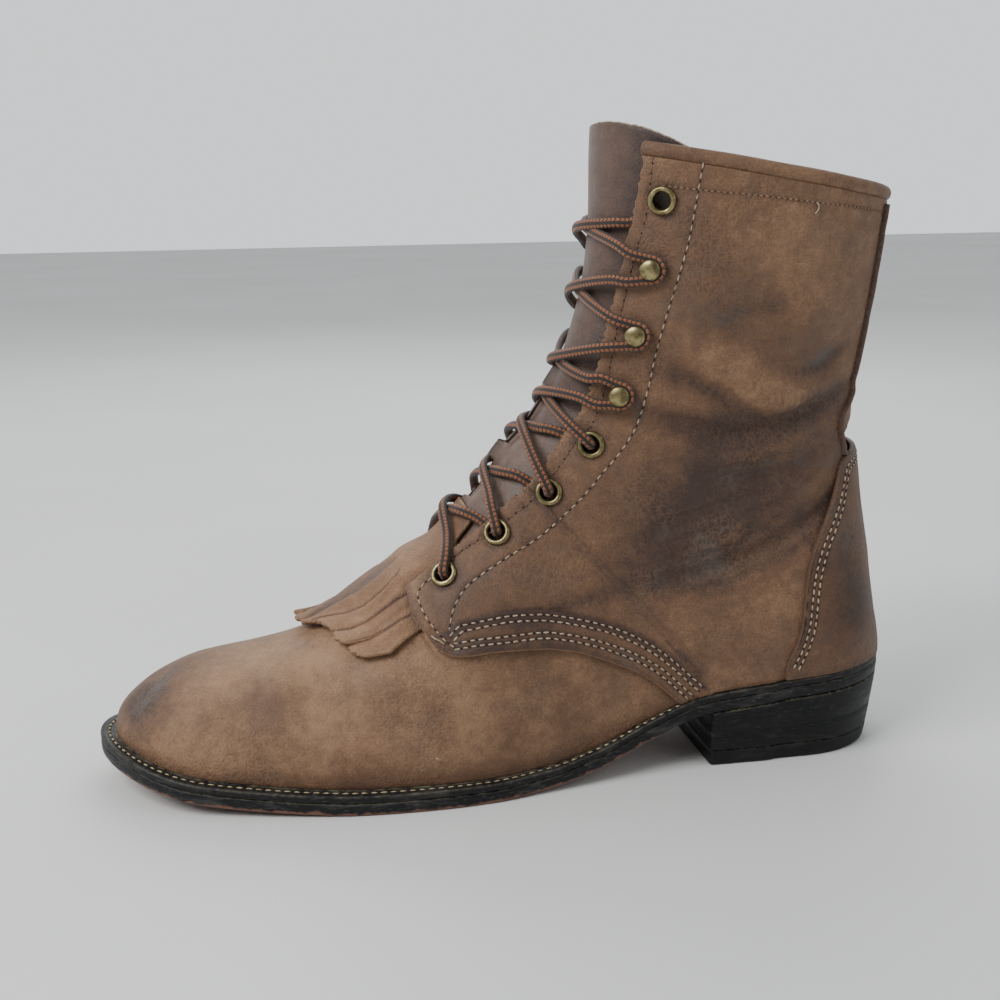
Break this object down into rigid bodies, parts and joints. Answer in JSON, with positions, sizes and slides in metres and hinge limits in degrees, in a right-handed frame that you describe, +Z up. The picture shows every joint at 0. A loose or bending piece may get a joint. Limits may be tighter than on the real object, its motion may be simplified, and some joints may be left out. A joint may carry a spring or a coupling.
{
  "type": "western kiltie boot",
  "caption": "Left western lace-up kiltie boot in oiled brown leather with stitched welt, low block heel, eyelets and speed hooks.",
  "frame": {"origin": "centre of the bounding box on the floor, under the waist of the boot", "axes": "+Z up, toe toward -X, heel toward +X, outer side of the foot toward -Y"},
  "size_m": [0.3038, 0.0976, 0.2365],
  "materials": {
    "upper_leather": "oiled, brushed",
    "trim_leather": "oiled, brushed",
    "tongue_leather": "smooth, worn",
    "insole_leather": "plain",
    "sole_rubber": "matt, scuffed",
    "welt_leather": "dyed edge",
    "heel_rubber": "matt, scuffed",
    "lace_cord": "braided",
    "antique_brass": "antique"
  },
  "bodies": {
    "root": {"outsole": "sole_rubber", "welt": "welt_leather", "insole": "insole_leather", "heel_block": "heel_rubber", "top_lift": "heel_rubber", "upper": "upper_leather", "heel_counter": "upper_leather", "back_piping": "trim_leather", "collar_roll": "trim_leather", "tongue": "tongue_leather", "kiltie": "upper_leather", "lace_upper": "lace_cord", "lace_cross_1": "lace_cord", "lace_cross_2": "lace_cord", "lace_cross_3": "lace_cord", "eyelet_lateral_1": "antique_brass", "eyelet_lateral_2": "antique_brass", "eyelet_lateral_3": "antique_brass", "eyelet_lateral_4": "antique_brass", "eyelet_lateral_5": "antique_brass", "hook_lateral_1": "antique_brass", "hook_lateral_2": "antique_brass", "hook_lateral_3": "antique_brass", "eyelet_medial_1": "antique_brass", "eyelet_medial_2": "antique_brass", "eyelet_medial_3": "antique_brass", "eyelet_medial_4": "antique_brass", "eyelet_medial_5": "antique_brass", "hook_medial_1": "antique_brass", "hook_medial_2": "antique_brass", "hook_medial_3": "antique_brass"}
  },
  "joints": []
}
